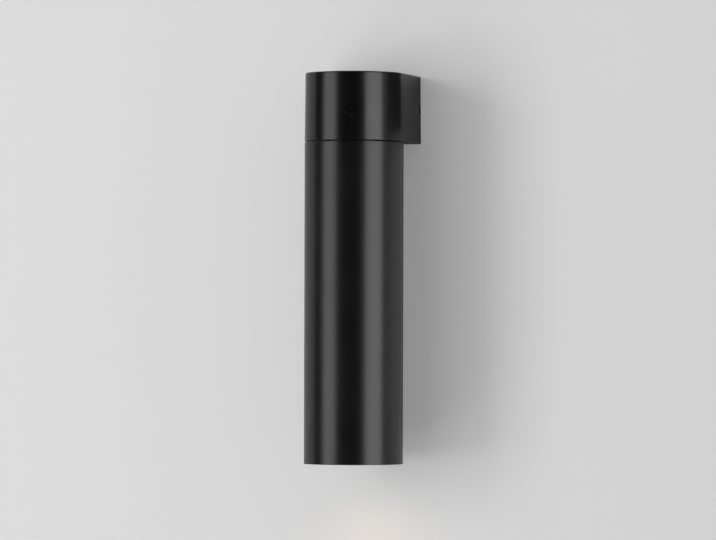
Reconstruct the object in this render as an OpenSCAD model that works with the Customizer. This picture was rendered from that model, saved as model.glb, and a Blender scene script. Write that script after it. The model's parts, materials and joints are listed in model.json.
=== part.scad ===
// Outdoor wall light: a plain barrel hangs under a mounting head of the same width, and a twist-lock
// reflector lamp deep in the barrel lights the wall below. The wall is the plane y = 0, the light stands
// out along -Y, and the origin is the middle of the head's back at half of its height.

/* [Overall] */
// Height of the whole light, from the roof of the head to the mouth of the barrel
overall_h = 300; // [260:1:400]
// Outside diameter of the barrel
barrel_d = 76; // [72:0.5:88]
// Distance from the wall to the axis of the barrel
axis_to_wall = 59; // [54:0.5:76]
// Height of the shadow gap between the head and the barrel
seam_gap = 0.7; // [0.4:0.1:1.5]

/* [Head casting] */
// Height of the head
head_h = 52.5; // [50:0.5:64]
// Thickness of the head's side walls
head_wall = 3; // [2.6:0.1:3.6]
// Thickness of the head's roof
head_roof = 3.2; // [2.4:0.1:4]
// Thickness of the head's floor
head_floor = 4; // [3:0.1:5]
// Draft of the side walls, which lets the casting leave its mould
head_draft = 0.5; // [0:0.1:1]
// How far the head's bottom edge lies inside the barrel's skin
head_inset = 0.05; // [0:0.05:0.5]
// Rounding of the head's top edge
head_top_round = 1; // [0.4:0.1:2]
// Rounding of the head's bottom edge
head_bottom_round = 0.4; // [0.2:0.1:1]
// Rounding inside the cavity, where the walls meet the roof and the floor
cavity_round = 1.6; // [0.6:0.1:2.5]
// Radius of the spigot under the head that centres the barrel
spigot_r = 28; // [24:0.5:30]
// Depth that the spigot goes into the barrel's top plug
spigot_h = 2; // [1.8:0.1:3]
// Thickness of the ribs on the head's floor
rib_t = 2; // [1.5:0.1:3]
// Height of the ribs on the head's floor
rib_h = 5; // [3:0.5:7]
// Radius of the raised seat for the washer on the head's floor
floor_seat_r = 11; // [10:0.5:13]
// Height of that raised seat
floor_seat_h = 1; // [0.5:0.1:2]

/* [Wall fixing] */
// Thickness of the bracket's steel sheet
bracket_t = 2; // [1.5:0.1:2.5]
// Clearance between the bracket plate and the head's cavity, above and below
bracket_margin = 2.2; // [1:0.1:3]
// Distance between the two wall-screw slots
slot_pitch = 44; // [40:1:46]
// Width of a wall-screw slot
slot_w = 5; // [4:0.5:6]
// Length of a wall-screw slot from end to end
slot_l = 9; // [7:0.5:11]
// Width of the bracket's side ears
ear_w = 18; // [14:1:22]
// Length of the bracket's side ears, measured from the wall
ear_l = 12; // [10:0.5:16]
// Outer radius of the bend between the plate and an ear
bend_r = 3; // [2.8:0.1:4]
// Width of the rear gasket's lip
gasket_w = 1.5; // [1:0.1:1.8]
// Thickness of the rear gasket
gasket_t = 2; // [1.5:0.1:3]
// Diameter of the supply cable that the grommet takes
cable_d = 8; // [6:0.5:9]
// Thickness of the grommet's rubber round the cable
grommet_wall = 2; // [1.5:0.1:2.5]
// How far the grommet's flanges stand out past its groove
grommet_flange_w = 1.5; // [1:0.1:2]
// Thickness of each grommet flange
grommet_flange_t = 1.6; // [1:0.1:2]
// How far the plate is dished forward round the cable hole
dish_depth = 2.5; // [2.2:0.1:3.5]

/* [Side screws] */
// Distance from the wall to the side screws
screw_from_wall = 5.5; // [5:0.1:6.5]
// Diameter of the recess in the head's side over a screw
side_recess_d = 6; // [5:0.1:7]
// Depth of that recess
side_recess_depth = 2.2; // [1.8:0.1:2.6]
// Thickness of the pad inside the head's wall that takes the thread
side_pad_t = 2.2; // [1.8:0.1:3]
// Radius of that pad
side_pad_r = 5; // [4:0.1:6]
// Thread diameter of a side screw
set_screw_d = 4; // [3:0.5:4.5]
// How far the screw's outer end lies below the head's skin
set_screw_sunk = 0.5; // [0.4:0.1:1.8]
// Diameter of the screw's point, which enters the bracket's ear
set_point_d = 2.5; // [2:0.1:2.8]
// Size of the screw's hexagon socket across its flats
set_socket_af = 2; // [1.5:0.1:2.2]

/* [Terminals] */
// Distance between the poles of the terminal block
pole_pitch = 8.5; // [8:0.1:9]
// Height of the terminal block along its sleeves
terminal_h = 13; // [12:0.5:14]
// Depth of the terminal block from the bracket
terminal_d = 13; // [12:0.5:16]
// Thickness of the base that joins its poles
terminal_base_t = 5; // [4:0.5:6]
// Outer diameter of a brass sleeve
sleeve_d = 5.2; // [5:0.1:5.6]
// Bore of a brass sleeve
sleeve_bore_d = 3.4; // [3:0.1:3.8]
// Clear height over the terminal block, where the leads turn
terminal_headroom = 6.2; // [6:0.1:8]
// Diameter of a terminal screw's head
terminal_screw_d = 3.4; // [3:0.1:3.8]
// Distance from the bracket's ear to the earth screw
earth_screw_inset = 10.2; // [8.5:0.1:11.5]
// How far the bracket's earth screw lies below the middle of the wall-screw slots
earth_screw_drop = 11; // [10.5:0.5:13]
// Thread diameter of the earth screws
earth_screw_d = 4; // [3:0.5:4]
// Outer diameter of the insulated leads
lead_d = 2.1; // [1.8:0.1:2.2]

/* [Barrel] */
// Wall thickness of the barrel
barrel_wall = 2.5; // [2:0.1:3.5]
// Height of the widened mouth, up to the shoulder that stops the front ring
mouth_depth = 10; // [8:0.5:16]
// How much the mouth's radius is widened
mouth_step = 0.8; // [0.5:0.1:1]
// Chamfer on the barrel's outer edges
barrel_chamfer = 0.3; // [0.2:0.1:0.8]
// Thickness of the barrel's top plug
plug_t = 9; // [8:0.5:14]
// Thickness of the plug's web between its ribs
plug_web_t = 3; // [2:0.5:4]
// Number of ribs under the plug
plug_ribs = 6; // [4:1:10]
// Radius of the plug's hub round the centre tube
plug_hub_r = 12; // [11:0.5:14]
// Width of the plug's rim against the barrel
plug_rim_w = 4; // [3:0.5:6]

/* [Centre tube] */
// Outside diameter of the threaded centre tube
tube_d = 10; // [9.5:0.1:10.5]
// Bore of the centre tube
tube_bore_d = 7.6; // [7.4:0.1:8]
// Width of the nuts across their flats
nut_af = 14; // [13:0.5:16]
// Height of a nut
nut_h = 4; // [3:0.5:5]
// Outside diameter of the lock washers
washer_d = 18; // [16:0.5:20]
// Thickness of the lock washers
washer_t = 1; // [0.8:0.1:1.2]
// Number of teeth on a lock washer
washer_teeth = 12; // [8:1:16]
// Length of thread that stands out past an end nut
tube_proud = 1.5; // [1:0.1:3]

/* [Lampholder] */
// Distance from the barrel's mouth to the lamp's face
lamp_recess = 45; // [34:1:70]
// Diameter of the ceramic lampholder
holder_d = 32; // [30:0.5:36]
// Height of the lampholder's ceramic body
holder_body_h = 9; // [8.5:0.5:11]
// Height of the lampholder's ceramic cover
holder_cover_h = 5; // [4:0.5:7]
// Thickness of the keyhole plate that carries the lamp's pins
key_plate_t = 2.5; // [2:0.1:3]
// Distance of a lampholder screw from the barrel's axis
holder_screw_y = 11.5; // [11:0.1:12]
// Thread diameter of the lampholder screws
holder_screw_d = 3; // [2.5:0.5:3.5]
// Thickness of the lampholder strap
strap_t = 1.5; // [1:0.1:2]
// Width of the lampholder strap
strap_w = 16; // [14:0.5:18]
// Clear height inside the lampholder strap
strap_h = 24; // [22:1:30]
// Distance from the axis to the inside of a strap leg
strap_leg_y = 17; // [17:0.5:20]

/* [Lamp] */
// Diameter of the lamp's face
lamp_d = 50; // [48:0.5:51]
// Length of the lamp without its pins
lamp_len = 47; // [44:1:60]
// Diameter of the lamp's base
lamp_base_d = 23; // [22:0.5:26]
// Height of the lamp's base
lamp_base_h = 13; // [12:0.5:16]
// Height of the rim round the lamp's face
lamp_rim_h = 6; // [4:0.5:8]
// Number of cooling fins on the lamp
lamp_fins = 18; // [12:1:24]
// Thickness of a cooling fin
lamp_fin_t = 1.4; // [1:0.1:1.8]
// Number of light chips in the ring round the middle one
lamp_chips = 6; // [4:1:7]
// Radius of the ring of light chips
chip_ring_r = 11; // [10:0.5:12]
// Side of a square light chip
chip_w = 3; // [2.4:0.1:3.6]
// Distance between the lamp's two pins
pin_pitch = 10; // [9.5:0.1:10.5]
// Diameter of a pin's neck
pin_neck_d = 3; // [2.6:0.1:3.2]
// Diameter of a pin's foot
pin_foot_d = 4.8; // [4.4:0.1:5]
// Height of a pin's foot
pin_foot_h = 2.2; // [1.6:0.1:2.4]
// Turn that frees the lamp from its holder
lamp_twist = 30; // [25:1:35]

/* [Front ring] */
// Thickness of the front ring's flange
ring_flange_t = 3; // [2:0.1:4]
// Height of the ring's sleeve inside the barrel
ring_sleeve_h = 12; // [11:0.5:16]
// Width of the lip that carries the glass
ring_lip_w = 2.4; // [1.8:0.1:3]
// Thickness of the sleeve's wall
ring_sleeve_wall = 3.2; // [3:0.1:3.6]
// Number of finger notches in the ring's flange
ring_notches = 3; // [2:1:6]
// Thickness of the front glass
glass_t = 4; // [3:0.5:5]
// Thickness of the glass gasket
glass_gasket_t = 1; // [0.6:0.1:1.5]
// Wire diameter of the spring ring over the glass
clip_wire_d = 1.6; // [1.2:0.1:2]
// Section diameter of the ring's rubber seal
ring_seal_d = 2.4; // [2:0.1:2.6]
// Section diameter of the rubber seal between the head and the barrel
head_seal_d = 2; // [1.6:0.1:2.2]

/* [Fits] */
// Clearance round pieces that move or are put in by hand
free_fit = 0.3; // [0.2:0.05:0.5]
// Clearance round screws, tubes and pressed pieces
close_fit = 0.05; // [0.05:0.01:0.1]

/* [Hidden] */
$fn = 96;
black = "#1b1b1d";
steel = "#b9bcc0";
zinc = "#9ea2a8";
brass = "#c9a24a";
rubber = "#111112";
ceramic = "#ece7da";

// Heights of the head, its cavity and the barrel
head_z1 = head_h / 2;
head_z0 = -head_h / 2;
cavity_z1 = head_z1 - head_roof;
cavity_z0 = head_z0 + head_floor;
barrel_z1 = head_z0 - seam_gap;
barrel_z0 = head_z1 - overall_h;

// Radii of the head and the barrel
barrel_r = barrel_d / 2;
bore_r = barrel_r - barrel_wall;
mouth_r = bore_r + mouth_step;
head_r = barrel_r - head_inset;

// Half of the head's width at a height, with its draft
function head_half_w(z) = head_r - (z - head_z0) * tan(head_draft);

// Side screws, the pads in the head and the bracket's ears
side_x = head_half_w(0);
pad_x = side_x - head_wall - side_pad_t;
ear_x = pad_x - free_fit;
set_screw_x1 = side_x - set_screw_sunk;
set_shoulder_x = ear_x + free_fit / 2;
set_point_x = ear_x - bracket_t - free_fit;

// Bracket plate, terminal block and cable hole
plate_z0 = cavity_z0 + bracket_margin;
plate_z1 = cavity_z1 - bracket_margin;
terminal_z1 = cavity_z1 - terminal_headroom;
terminal_z0 = terminal_z1 - terminal_h;
terminal_w = 3 * pole_pitch + 2;
hump_r = pole_pitch / 2 - 0.4;
terminal_thread_r = terminal_screw_d / 2 - 0.4;
sleeve_y = -bracket_t - terminal_d / 2 - 0.5;
grommet_r = cable_d / 2 + grommet_wall;
grommet_flange_r = grommet_r + grommet_flange_w;
dish_in_r = grommet_flange_r + free_fit;
dish_r = dish_in_r + bracket_t;
cable_z = terminal_z0 - 1 - dish_r;
dish_y = -dish_depth;
earth_collar_r = earth_screw_d / 2 + 1.5;
earth_collar_h = 2;
earth_y = -bracket_t - earth_collar_h;
earth_screw_x = ear_x - earth_screw_inset;
earth_z = -earth_screw_drop;
tag_t = 0.8;
tag_tail = earth_screw_d + 0.8;
tag_crimp_l = 4.5;
tag_crimp_r = lead_d / 2 + 0.5;
tag_crimp_z = tag_crimp_r + 0.05;
earth_head_h = 2.4;

// Centre tube, its nuts and washers, and the lampholder under it
tube_r = tube_d / 2;
seat_z = cavity_z0 + floor_seat_h;
top_nut_z = seat_z + washer_t;
tube_z1 = top_nut_z + nut_h + tube_proud;
plug_z0 = barrel_z1 - plug_t;
lamp_z0 = barrel_z0 + lamp_recess;
lamp_z1 = lamp_z0 + lamp_len;
holder_z = lamp_z1 + 0.5;
cover_z = holder_z + holder_body_h;
holder_z1 = cover_z + holder_cover_h;
strap_z1 = holder_z1 + strap_t + strap_h;
web_z0 = strap_z1 - strap_t;
strap_earth_z = web_z0 - strap_h / 2;
tube_z0 = web_z0 - nut_h - tube_proud;
bush_flange_t = 1;
bush_wall = 0.5;
bush_l = 5;
pin_foot_z = holder_z + key_plate_t + 0.2;
contact_t = 0.6;
contact_z = pin_foot_z + pin_foot_h + free_fit;
crimp_r = 1.5;

// Front ring, glass and seals
shoulder_z = barrel_z0 + mouth_depth;
ring_z0 = shoulder_z - ring_flange_t;
ring_z1 = shoulder_z + ring_sleeve_h;
ring_r = bore_r - free_fit;
ring_in_r = ring_r - ring_sleeve_wall;
glass_r = ring_in_r - free_fit;
window_r = ring_in_r - ring_lip_w;
glass_z0 = shoulder_z + glass_gasket_t;
glass_z1 = glass_z0 + glass_t;
clip_z = glass_z1 + clip_wire_d / 2 + 0.05;
ring_groove_w = ring_seal_d + 0.4;
ring_groove_r = bore_r - ring_seal_d - 0.2;
ring_groove_z = ring_z1 - 2 - ring_groove_w / 2;
head_groove_r = spigot_r - 5;

// Points on an arc, from one angle to another
function arc(cx, cy, r, a0, a1, steps = 6) =
    [for (i = [0:steps]) let (a = a0 + (a1 - a0) * i / steps) [cx + r * cos(a), cy + r * sin(a)]];

// Right-hand side of the head's cross-section, bottom to top, with its corners rounded where asked
function side_points(inset, z0, z1, r_bottom, r_top) =
    concat(
        r_bottom == 0
            ? [[head_half_w(z0) - inset, z0]]
            : arc(head_half_w(z0 + r_bottom) - inset - r_bottom / cos(head_draft), z0 + r_bottom, r_bottom,
                  -90, head_draft),
        r_top == 0
            ? [[head_half_w(z1) - inset, z1]]
            : arc(head_half_w(z1 - r_top) - inset - r_top / cos(head_draft), z1 - r_top, r_top,
                  head_draft, 90));

function mirrored(p) = [for (i = [len(p) - 1:-1:0]) [-p[i].x, p[i].y]];

function round_rect(w, h, r) =
    concat(
        arc(w / 2 - r, h / 2 - r, r, 0, 90),
        arc(r - w / 2, h / 2 - r, r, 90, 180),
        arc(r - w / 2, r - h / 2, r, 180, 270),
        arc(w / 2 - r, r - h / 2, r, 270, 360));

// The head's D shape: a half turn round the barrel's axis, then straight back to the wall and past it
module d_solid(inset, z0, z1, r_bottom, r_top, past_wall) {
    side = side_points(inset, z0, z1, r_bottom, r_top);
    translate([0, -axis_to_wall, 0])
        rotate([0, 0, 180])
            rotate_extrude(angle = 180)
                polygon(concat([[0, z0]], side, [[0, z1]]));
    translate([0, past_wall, 0])
        rotate([90, 0, 0])
            linear_extrude(height = axis_to_wall + past_wall)
                polygon(concat(side, mirrored(side)));
}

module on_axis(z) {
    translate([0, -axis_to_wall, z]) children();
}

// A round bar or hole along Y, from y0 back to y1
module along_y(x, z, y0, y1, r) {
    translate([x, y1, z])
        rotate([90, 0, 0])
            cylinder(r = r, h = y1 - y0);
}

// A round bar or hole along X, from x0 to x1
module along_x(y, z, x0, x1, r) {
    translate([x0, y, z])
        rotate([0, 90, 0])
            cylinder(r = r, h = x1 - x0);
}

module ring(r_out, r_in, h) {
    difference() {
        cylinder(r = r_out, h = h);
        translate([0, 0, -1]) cylinder(r = r_in, h = h + 2);
    }
}

module torus(r, section_r) {
    rotate_extrude()
        translate([r, 0])
            circle(r = section_r, $fn = 32);
}

module cross_recess(size, depth) {
    for (a = [0, 90])
        rotate([0, 0, a])
            translate([-size / 2, -size / 8, 0])
                cube([size, size / 4, depth]);
}

// Wall bracket, pressed from sheet, with slots for the wall screws and a side ear for each locking screw

module ear_bend() {
    corner_x = ear_x - bend_r;
    overlap = 2;
    linear_extrude(height = ear_w, center = true)
        polygon(concat(
            [[corner_x - overlap, 0]],
            arc(corner_x, -bend_r, bend_r, 90, 0),
            [[ear_x, -ear_l], [ear_x - bracket_t, -ear_l]],
            arc(corner_x, -bend_r, bend_r - bracket_t, 0, 90),
            [[corner_x - overlap, -bracket_t]]));
}

module wall_slot(x) {
    translate([x, 1, 0])
        rotate([90, 0, 0])
            linear_extrude(height = bracket_t + 2) {
                square([slot_l - slot_w, slot_w], center = true);
                for (s = [-1, 1])
                    translate([s * (slot_l - slot_w) / 2, 0]) circle(d = slot_w);
            }
}

module wall_bracket() {
    plate_w = 2 * (ear_x - bend_r);
    color(zinc)
        difference() {
            union() {
                translate([0, 0, (plate_z0 + plate_z1) / 2])
                    rotate([90, 0, 0])
                        linear_extrude(height = bracket_t)
                            polygon(round_rect(plate_w, plate_z1 - plate_z0, 3));
                ear_bend();
                mirror([1, 0, 0]) ear_bend();
                along_y(0, cable_z, dish_y - bracket_t, -bracket_t / 2, dish_r);
                along_y(-earth_screw_x, earth_z, earth_y, -bracket_t / 2, earth_collar_r);
            }
            along_y(0, cable_z, dish_y, 1, dish_in_r);
            along_y(0, cable_z, dish_y - bracket_t - 1, 1, grommet_r);
            along_y(-earth_screw_x, earth_z, earth_y - 1, 1, earth_screw_d / 2 + close_fit);
            for (s = [-1, 1]) {
                wall_slot(s * slot_pitch / 2);
                along_y(s * pole_pitch / 2, (terminal_z0 + terminal_z1) / 2, -bracket_t - 1, 1,
                        terminal_thread_r + close_fit);
            }
            for (x = [-ear_x, ear_x - bracket_t])
                along_x(-screw_from_wall, 0, x - 1, x + bracket_t + 1, set_point_d / 2 + free_fit);
        }
}

// Rear gasket, which lies in a rebate round the back of the head and meets the wall

module rear_gasket() {
    outer = side_points(head_wall - gasket_w + close_fit, cavity_z0 - gasket_w + close_fit,
                        cavity_z1 + gasket_w - close_fit, 0, 0);
    inner = side_points(head_wall - free_fit, cavity_z0 + free_fit, cavity_z1 - free_fit, 0, 0);
    color(rubber)
        rotate([90, 0, 0])
            linear_extrude(height = gasket_t)
                difference() {
                    polygon(concat(outer, mirrored(outer)));
                    polygon(concat(inner, mirrored(inner)));
                }
}

module cable_grommet() {
    groove_w = bracket_t;
    flange_y = dish_y + grommet_flange_t;
    total = groove_w + 2 * grommet_flange_t;
    color(rubber)
        translate([0, flange_y, cable_z])
            rotate([90, 0, 0])
                rotate_extrude()
                    polygon([
                        [cable_d / 2, 0],
                        [grommet_flange_r - 0.5, 0],
                        [grommet_flange_r, 0.5],
                        [grommet_flange_r, grommet_flange_t],
                        [grommet_r - close_fit, grommet_flange_t],
                        [grommet_r - close_fit, grommet_flange_t + groove_w],
                        [grommet_flange_r, grommet_flange_t + groove_w],
                        [grommet_flange_r, total - 0.5],
                        [grommet_flange_r - 0.5, total],
                        [cable_d / 2, total]
                    ]);
}

// Head casting: closed roof, drafted walls, open back, ribbed floor and the spigot that centres the barrel

module floor_ribs() {
    on_axis(cavity_z0 - 1)
        for (a = [-160, -125, -90, -55, -20])
            rotate([0, 0, a])
                translate([floor_seat_r - 1, -rib_t / 2, 0])
                    cube([head_r - head_wall - floor_seat_r + 1.6, rib_t, rib_h + 1]);
}

module side_pad() {
    difference() {
        along_x(-screw_from_wall, 0, pad_x, side_x - head_wall / 2, side_pad_r);
        translate([0, -gasket_t - free_fit, -side_pad_r - 1])
            cube([side_x, gasket_t + side_pad_r, 2 * side_pad_r + 2]);
    }
}

module side_screw_hole() {
    along_x(-screw_from_wall, 0, pad_x - 1, side_x + 1, set_screw_d / 2 + close_fit);
    along_x(-screw_from_wall, 0, side_x - side_recess_depth, side_x + 1, side_recess_d / 2);
}

module head_housing() {
    color(black)
        difference() {
            union() {
                difference() {
                    d_solid(0, head_z0, head_z1, head_bottom_round, head_top_round, 0);
                    d_solid(head_wall, cavity_z0, cavity_z1, cavity_round, cavity_round, 1);
                    rotate([90, 0, 0])
                        translate([0, 0, -1])
                            linear_extrude(height = gasket_t + 1)
                                polygon(concat(
                                    side_points(head_wall - gasket_w, cavity_z0 - gasket_w,
                                                cavity_z1 + gasket_w, 0, 0),
                                    mirrored(side_points(head_wall - gasket_w, cavity_z0 - gasket_w,
                                                         cavity_z1 + gasket_w, 0, 0))));
                }
                floor_ribs();
                on_axis(cavity_z0 - 1) cylinder(r = floor_seat_r, h = floor_seat_h + 1);
                on_axis(head_z0 - seam_gap - spigot_h) cylinder(r = spigot_r, h = seam_gap + spigot_h + 1);
                side_pad();
                mirror([1, 0, 0]) side_pad();
            }
            on_axis(head_z0 - seam_gap - spigot_h - 1)
                cylinder(r = tube_r + close_fit, h = head_floor + seam_gap + spigot_h + floor_seat_h + 2);
            on_axis(head_z0 - seam_gap - spigot_h - 1)
                ring(head_groove_r + head_seal_d / 2 + 0.2, head_groove_r - head_seal_d / 2 - 0.2,
                     1 + head_seal_d);
            side_screw_hole();
            mirror([1, 0, 0]) side_screw_hole();
        }
}

module locking_screw() {
    difference() {
        union() {
            along_x(-screw_from_wall, 0, set_shoulder_x, set_screw_x1, set_screw_d / 2);
            along_x(-screw_from_wall, 0, set_point_x, set_shoulder_x + 1, set_point_d / 2);
        }
        translate([set_screw_x1 - 2, -screw_from_wall, 0])
            rotate([0, 90, 0])
                cylinder(d = set_socket_af / cos(30), h = 3, $fn = 6);
    }
}

module side_locking_screws() {
    color(steel) {
        locking_screw();
        mirror([1, 0, 0]) locking_screw();
    }
}

// Terminal block: an insulating body, three brass sleeves and a screw for each wire end

terminal_x = [-pole_pitch, 0, pole_pitch];
terminal_screw_z = [terminal_z0 + terminal_h / 4, terminal_z1 - terminal_h / 4];
fixing_x = [-pole_pitch / 2, pole_pitch / 2];
terminal_front_y = -bracket_t - terminal_d;
terminal_mid_z = (terminal_z0 + terminal_z1) / 2;

module terminal_block() {
    color("#d9d6cc")
        difference() {
            translate([0, -bracket_t, terminal_z0])
                linear_extrude(height = terminal_h)
                    union() {
                        translate([-terminal_w / 2, -terminal_base_t]) square([terminal_w, terminal_base_t]);
                        for (x = terminal_x) {
                            translate([x, hump_r - terminal_d]) circle(r = hump_r);
                            translate([x - hump_r, hump_r - terminal_d])
                                square([2 * hump_r, terminal_d - hump_r - terminal_base_t / 2]);
                        }
                    }
            for (x = terminal_x) {
                translate([x, sleeve_y, terminal_z0 - 1])
                    cylinder(r = sleeve_d / 2 + close_fit, h = terminal_h + 2);
                for (z = terminal_screw_z)
                    along_y(x, z, terminal_front_y - 1, sleeve_y, terminal_screw_d / 2 + 0.15);
            }
            for (x = fixing_x)
                along_y(x, terminal_mid_z, terminal_front_y, -bracket_t + 1,
                        terminal_thread_r + close_fit);
        }
}

module terminal_sleeves() {
    color(brass)
        for (x = terminal_x)
            difference() {
                translate([x, sleeve_y, terminal_z0 + 0.5]) cylinder(d = sleeve_d, h = terminal_h - 1);
                translate([x, sleeve_y, terminal_z0 - 1]) cylinder(d = sleeve_bore_d, h = terminal_h + 2);
                for (z = terminal_screw_z)
                    along_y(x, z, sleeve_y - sleeve_d, sleeve_y, terminal_thread_r + close_fit);
            }
}

module terminal_screws() {
    tip_y = sleeve_y - lead_d / 2 - close_fit;
    head_y = sleeve_y - sleeve_d / 2 - 0.2;
    color(steel)
        for (x = terminal_x)
            for (z = terminal_screw_z)
                difference() {
                    union() {
                        along_y(x, z, head_y - 0.5, tip_y, terminal_thread_r);
                        along_y(x, z, head_y - 2, head_y, terminal_screw_d / 2);
                    }
                    translate([x - terminal_screw_d, head_y - 2.1, z - 0.3])
                        cube([2 * terminal_screw_d, 1, 0.6]);
                }
}

module terminal_fixing_screws() {
    head_y = -bracket_t - terminal_base_t;
    head_r = pole_pitch / 2 - hump_r + 0.9;
    fixing_recess = 1.6;
    color(steel)
        for (x = fixing_x)
            difference() {
                union() {
                    along_y(x, terminal_mid_z, head_y - 0.5, -0.3, terminal_thread_r);
                    along_y(x, terminal_mid_z, head_y - 1.6, head_y, head_r);
                }
                translate([x, head_y - 1.7, terminal_mid_z])
                    rotate([90, 0, 0])
                        translate([0, 0, -1]) cross_recess(fixing_recess, 1);
            }
}

// Earth points: a pan-head screw holds a ring tag, and a lead is crimped into the tag's tail

module earth_screw(shank) {
    difference() {
        union() {
            translate([0, 0, -shank]) cylinder(d = earth_screw_d, h = shank + 0.5);
            cylinder(d = 2 * earth_screw_d, h = earth_head_h);
        }
        translate([0, 0, earth_head_h - 1.2]) cross_recess(earth_screw_d, 2);
    }
}

module earth_tag() {
    tag_ring_r = earth_screw_d + 0.3;
    tail_w = 3.2;
    difference() {
        union() {
            cylinder(r = tag_ring_r, h = tag_t);
            translate([0, -tail_w / 2, 0]) cube([tag_tail + 1, tail_w, tag_t]);
            translate([tag_tail, 0, tag_crimp_z])
                rotate([0, 90, 0]) cylinder(r = tag_crimp_r, h = tag_crimp_l);
        }
        translate([0, 0, -1]) cylinder(r = earth_screw_d / 2 + close_fit, h = tag_t + 2);
        translate([tag_tail - 1, 0, tag_crimp_z])
            rotate([0, 90, 0]) cylinder(r = lead_d / 2 + close_fit, h = tag_crimp_l + 2);
    }
}

// The bracket's earth point lies below a wall-screw slot, with the tag's tail pointing to the middle
module at_bracket_earth() {
    translate([-earth_screw_x, earth_y, earth_z])
        rotate([90, 0, 0])
            children();
}

module bracket_earth_screw() {
    color(brass)
        at_bracket_earth()
            translate([0, 0, tag_t]) earth_screw(earth_collar_h + bracket_t + tag_t - 0.3);
}

module bracket_earth_tag() {
    color(steel) at_bracket_earth() earth_tag();
}

// Leads: each route is a list of points, smoothed and swept as one unbroken tube

function between(a, b, t) = a + (b - a) * t;
function curve_point(a, b, c, d, t) =
    0.5 * (2 * b + (c - a) * t + (2 * a - 5 * b + 4 * c - d) * t * t + (3 * b - a - 3 * c + d) * t * t * t);
function smooth_route(p, n = 4) =
    let (last = len(p) - 1)
    concat(
        [for (i = [0:last - 1]) for (k = [0:n - 1])
            curve_point(p[max(i - 1, 0)], p[i], p[i + 1], p[min(i + 2, last)], k / n)],
        [p[last]]);
function unit(v) = v / norm(v);
function heading(p, i) =
    i == 0 ? unit(p[1] - p[0])
    : i == len(p) - 1 ? unit(p[i] - p[i - 1])
    : unit(unit(p[i + 1] - p[i]) + unit(p[i] - p[i - 1]));

// A direction square to the route at each of its points, carried along it without twisting
function squared(u, t) = unit(u - (u * t) * t);
function square_directions(p) =
    [for (i = 0, u = squared([0.3, 0.8, 0.1], heading(p, 0));
          i < len(p);
          i = i + 1, u = i < len(p) ? squared(u, heading(p, i)) : u) u];

module swept_tube(route, r, sides = 8) {
    n = len(route);
    across = square_directions(route);
    points = [
        for (i = [0:n - 1])
            let (u = across[i], v = cross(heading(route, i), u))
            for (k = [0:sides - 1])
                route[i] + r * (cos(360 * k / sides) * u + sin(360 * k / sides) * v)
    ];
    walls = [
        for (i = [0:n - 2]) for (k = [0:sides - 1])
            let (a = i * sides + k, b = i * sides + (k + 1) % sides)
            each [[a, a + sides, b + sides], [a, b + sides, b]]
    ];
    start = [[for (k = [0:sides - 1]) k]];
    end = [[for (k = [sides - 1:-1:0]) (n - 1) * sides + k]];
    polyhedron(points = points, faces = concat(walls, start, end), convexity = 6);
}

// Places of the three leads in the centre tube
lead_ring_r = 1.8;
function lead_spot(a) = [lead_ring_r * cos(a), lead_ring_r * sin(a) - axis_to_wall];
lead_bend_r = 3.6;
lead_spread = 3.4;
earth_loop_l = 10.5;
turn_z = terminal_z1 + 0.6 + lead_bend_r;
tube_top_z = tube_z1 + bush_flange_t;
tube_foot_z = tube_z0 - bush_flange_t;

// From a terminal up, over and down into the centre tube
function upper_run(x, spot, spread) =
    let (y0 = sleeve_y, y1 = spot.y, z0 = tube_top_z, bend_z = terminal_z1 + 0.6)
    concat(
        [[x, y0, terminal_z1 - terminal_h / 4 - 1.5]],
        [for (a = [0:22.5:90]) [x, y0 - lead_bend_r * (1 - cos(a)), bend_z + lead_bend_r * sin(a)]],
        smooth_route([
            [between(x, spread, 0.1), between(y0, y1, 0.15), turn_z - 0.4],
            [between(x, spread, 0.3), between(y0, y1, 0.35), between(turn_z, z0, 0.16)],
            [between(x, spread, 0.65), between(y0, y1, 0.62), between(turn_z, z0, 0.4)],
            [spread, between(y0, y1, 0.85), between(turn_z, z0, 0.64)],
            [between(spread, spot.x, 0.55), between(y0, y1, 0.97), between(turn_z, z0, 0.85)],
            [spot.x, y1, z0],
            [spot.x, y1, z0 - 5]
        ]));

// From the foot of the centre tube to the lampholder's cover
function lower_run(spot, x) =
    let (z0 = tube_foot_z, z1 = holder_z1)
    smooth_route([
        [spot.x, spot.y, z0 + 5],
        [spot.x, spot.y, z0],
        [between(spot.x, x, 0.2), between(spot.y, -axis_to_wall, 0.3), between(z0, z1, 0.25)],
        [between(spot.x, x, 0.8), between(spot.y, -axis_to_wall, 0.8), between(z0, z1, 0.65)],
        [x, -axis_to_wall, z1 + 1.5],
        [x, -axis_to_wall, z1 - holder_cover_h / 2]
    ]);

module live_lead() {
    spot = lead_spot(-30);
    color("#7a4a2a")
        swept_tube(concat(
            upper_run(pole_pitch, spot, lead_spread),
            lower_run(spot, pin_pitch / 2)), lead_d / 2);
}

module neutral_lead() {
    spot = lead_spot(210);
    color("#2f5f9e")
        swept_tube(concat(
            upper_run(-pole_pitch, spot, -lead_spread),
            lower_run(spot, -pin_pitch / 2)), lead_d / 2);
}

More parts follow.
